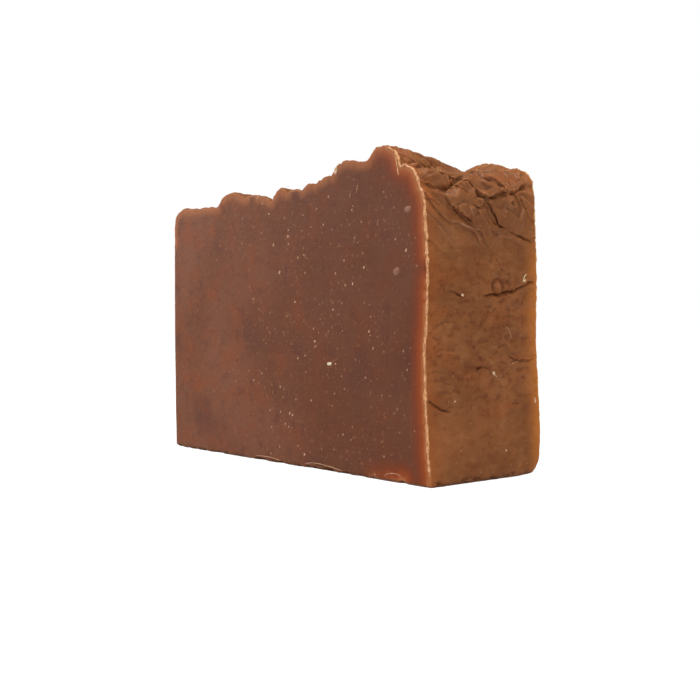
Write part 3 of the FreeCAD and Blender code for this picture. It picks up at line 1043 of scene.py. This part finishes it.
# the pixel, the size in millimetres, and the turn in the picture in degrees
GRAINS = [
    Grain(329.5, 363.7, 1.5, 0.7, 5, white_finish), Grain(335.5, 364.0, 0.5, 0.4, 0, tan_finish),
    Grain(289.8, 413.3, 0.7, 0.4, 40, pale_finish), Grain(292.5, 415.0, 0.5, 0.4, 0, pale_finish),
    Grain(285.5, 423.7, 0.6, 0.4, 70, tan_finish), Grain(296.0, 399.5, 0.5, 0.4, 0, tan_finish),
    Grain(311.4, 400.4, 0.5, 0.4, 30, tan_finish), Grain(312.0, 183.0, 1.2, 0.8, 20, tan_finish),
    Grain(258.0, 197.7, 1.0, 0.6, 20, tan_finish), Grain(357.0, 189.0, 1.6, 0.2, 65, tan_finish),
    Grain(350.0, 195.0, 1.2, 0.2, 60, tan_finish), Grain(377.7, 222.7, 1.3, 0.2, 60, tan_finish),
    Grain(279.5, 272.6, 0.9, 0.5, 50, tan_finish), Grain(328.6, 196.8, 0.5, 0.5, 0, tan_finish),
    Grain(352.0, 209.8, 0.5, 0.4, 30, tan_finish), Grain(269.0, 214.0, 0.5, 0.4, 0, tan_finish),
    Grain(288.0, 236.5, 0.8, 0.6, 0, tan_finish), Grain(273.5, 245.0, 0.8, 0.6, 80, tan_finish),
    Grain(406.0, 250.2, 0.8, 0.6, 60, tan_finish), Grain(363.9, 267.4, 0.6, 0.4, 80, pale_finish),
    Grain(344.0, 260.5, 0.5, 0.4, 40, tan_finish), Grain(335.5, 273.5, 0.6, 0.4, 120, tan_finish),
    Grain(352.7, 283.8, 0.6, 0.3, 60, pale_finish), Grain(295.0, 302.0, 0.4, 0.4, 0, pale_finish),
    Grain(333.0, 309.6, 0.6, 0.4, 20, tan_finish), Grain(314.8, 341.3, 0.5, 0.4, 60, pale_finish),
    Grain(369.0, 331.5, 0.6, 0.4, 50, pale_finish), Grain(305.3, 355.6, 0.5, 0.4, 10, tan_finish),
    Grain(304.5, 454.3, 0.6, 0.4, 30, pale_finish), Grain(396.6, 271.0, 1.9, 1.5, 20, faint_finish),
    Grain(407.8, 209.0, 2.0, 1.3, 5, faint_finish), Grain(426.8, 252.5, 0.9, 0.9, 0, pale_finish),
    Grain(335.5, 170.5, 1.6, 1.3, 30, pale_finish),
    Grain(493.5, 372.7, 2.6, 0.8, -55, pale_finish), Grain(462.7, 295.0, 0.7, 0.6, 0, pale_finish),
    Grain(524.8, 280.5, 0.7, 0.6, 0, white_finish), Grain(455.0, 401.5, 0.4, 0.4, 0, pale_finish),
    Grain(506.3, 450.3, 0.4, 0.4, 0, pale_finish), Grain(491.0, 310.5, 0.5, 0.3, 45, tan_finish),
    Grain(535.0, 400.0, 1.2, 0.6, 90, pale_finish),
]


def axes_at(x, y, turn):
    """The place on the bar that a pixel shows, the surface's normal and a direction along it that
    has a turn in the picture."""
    _, place, normal, _ = bar.ray_cast(CAMERA_PLACE, pixel_ray(x, y))
    pointing = math.cos(math.radians(turn)) * camera_right + math.sin(math.radians(turn)) * camera_up
    return place, normal, (pointing - pointing.dot(normal) * normal).normalized()


for i, spec in enumerate(GRAINS):
    place, normal, along = axes_at(spec.x, spec.y, spec.turn)
    copy = grain.copy()
    copy.data = grain.data.copy()
    copy.name = f"grain_{i + 1:02d}"
    bpy.context.scene.collection.objects.link(copy)
    sizes = Matrix.Diagonal((spec.length, spec.width, GRAIN_THICKNESS))
    axes = Matrix((along, normal.cross(along), normal)).transposed()
    copy.data.transform(Matrix.Translation(place) @ (axes @ sizes).to_4x4())
    add_piece(copy, spec.finish)
bpy.data.objects.remove(grain)
print("laid", len(GRAINS), "grains")

# %% Fibres
FIBRES = [
    [(523, 282), (524, 277), (526.5, 274)], [(506.3, 327), (509.5, 331), (511, 336), (510, 339)],
    [(511.4, 364.4), (514.5, 362), (517.8, 361.8)], [(506, 182), (508, 185.5), (512, 187), (516, 185)],
    [(470, 206), (472, 211), (474, 216)], [(462, 223.5), (468, 226.5), (474, 228), (481, 230)],
    # torn shreds along the front's lower edge
    [(256, 455.5), (264, 456), (272, 457.5), (281, 460.5)],
    [(305, 463.5), (314, 462.5), (330, 466.5), (342, 471)],
    [(384, 476), (387.5, 473.5), (396, 473.5), (401, 476.5)],
]
for i, pixels in enumerate(FIBRES):
    path = [seen_at(float(x), float(y)) for x, y in rounded([np.array(pixel) for pixel in pixels])]
    radius, finish = (0.1, white_finish) if i == 0 else (0.08, tan_finish)
    strand(f"fibre_{i + 1}", path, radius, finish, 0.3)

# %% [markdown]
# ## Stage and light
# The bar stands on white paper in soft light, mostly from above, with some from the right. The paper
# is matte and glows only for the camera, so it looks white, keeps the shadow and adds no light to
# the soap. The world is white to the camera and to rays that go through something, and dim to all
# others: nothing here is metal or glass, and a white gloss would veil the soap's colour.

# %% White paper
GLOW = 1.2                  # at this share, the glow and the paper's own light come to about 1
GLOW_SHARE = 0.8

bpy.ops.object.select_all(action="DESELECT")
bpy.ops.mesh.primitive_plane_add(size=6, location=(0, 0, -0.00002))
floor = bpy.context.object
floor.name = "floor"
paper = Finish("paper")
paper.give("Base Color", (0.8, 0.8, 0.8, 1))
paper.give("Roughness", 1.0)
own_light = Value(paper, paper.shader.outputs[0])
glow = paper.node("ShaderNodeEmission", {}, {"Strength": GLOW})
seen_by_camera = paper.node("ShaderNodeLightPath", output="Is Camera Ray")
mixed = paper.node("ShaderNodeMixShader", {}, {0: seen_by_camera * GLOW_SHARE, 1: own_light, 2: glow})
paper.plug(paper.tree.nodes["Material Output"].inputs["Surface"], mixed)
floor.data.materials.append(paper.material)
print("the paper glows at", GLOW)

# %% White surroundings
DIM = 0.28                  # the world's strength as a light

world = bpy.data.worlds.new("surroundings")
bpy.context.scene.world = world
world.use_nodes = True
sky = world.node_tree.nodes["Background"]
surroundings = Nodes(world.node_tree)
to_camera = surroundings.node("ShaderNodeLightPath", output="Is Camera Ray")
seen_white = to_camera + to_camera.other("Is Transmission Ray")
strength = surroundings.node("ShaderNodeMapRange", {}, {"Value": seen_white, "To Min": DIM})
surroundings.plug(sky.inputs["Color"], (1, 1, 1, 1))
surroundings.plug(sky.inputs["Strength"], strength)
print("the world lights at", DIM)


# %% Lamps
def soft_lamp(name, place, size, watts):
    """A square lamp that looks at the middle of the bar."""
    bpy.ops.object.light_add(type="AREA", location=place)
    lamp = bpy.context.object
    lamp.name = name
    lamp.data.size = size
    lamp.data.energy = watts
    lamp.rotation_euler = (Vector((0, 0, 0.03)) - Vector(place)).to_track_quat("-Z", "Y").to_euler()
    print("lamp", name, watts, "watts")


soft_lamp("left", (-0.22, -0.16, 0.14), 0.16, 0.36)
soft_lamp("above", (0.05, -0.15, 0.60), 0.25, 3.4)
soft_lamp("right", (0.55, -0.05, 0.35), 0.35, 1.75)
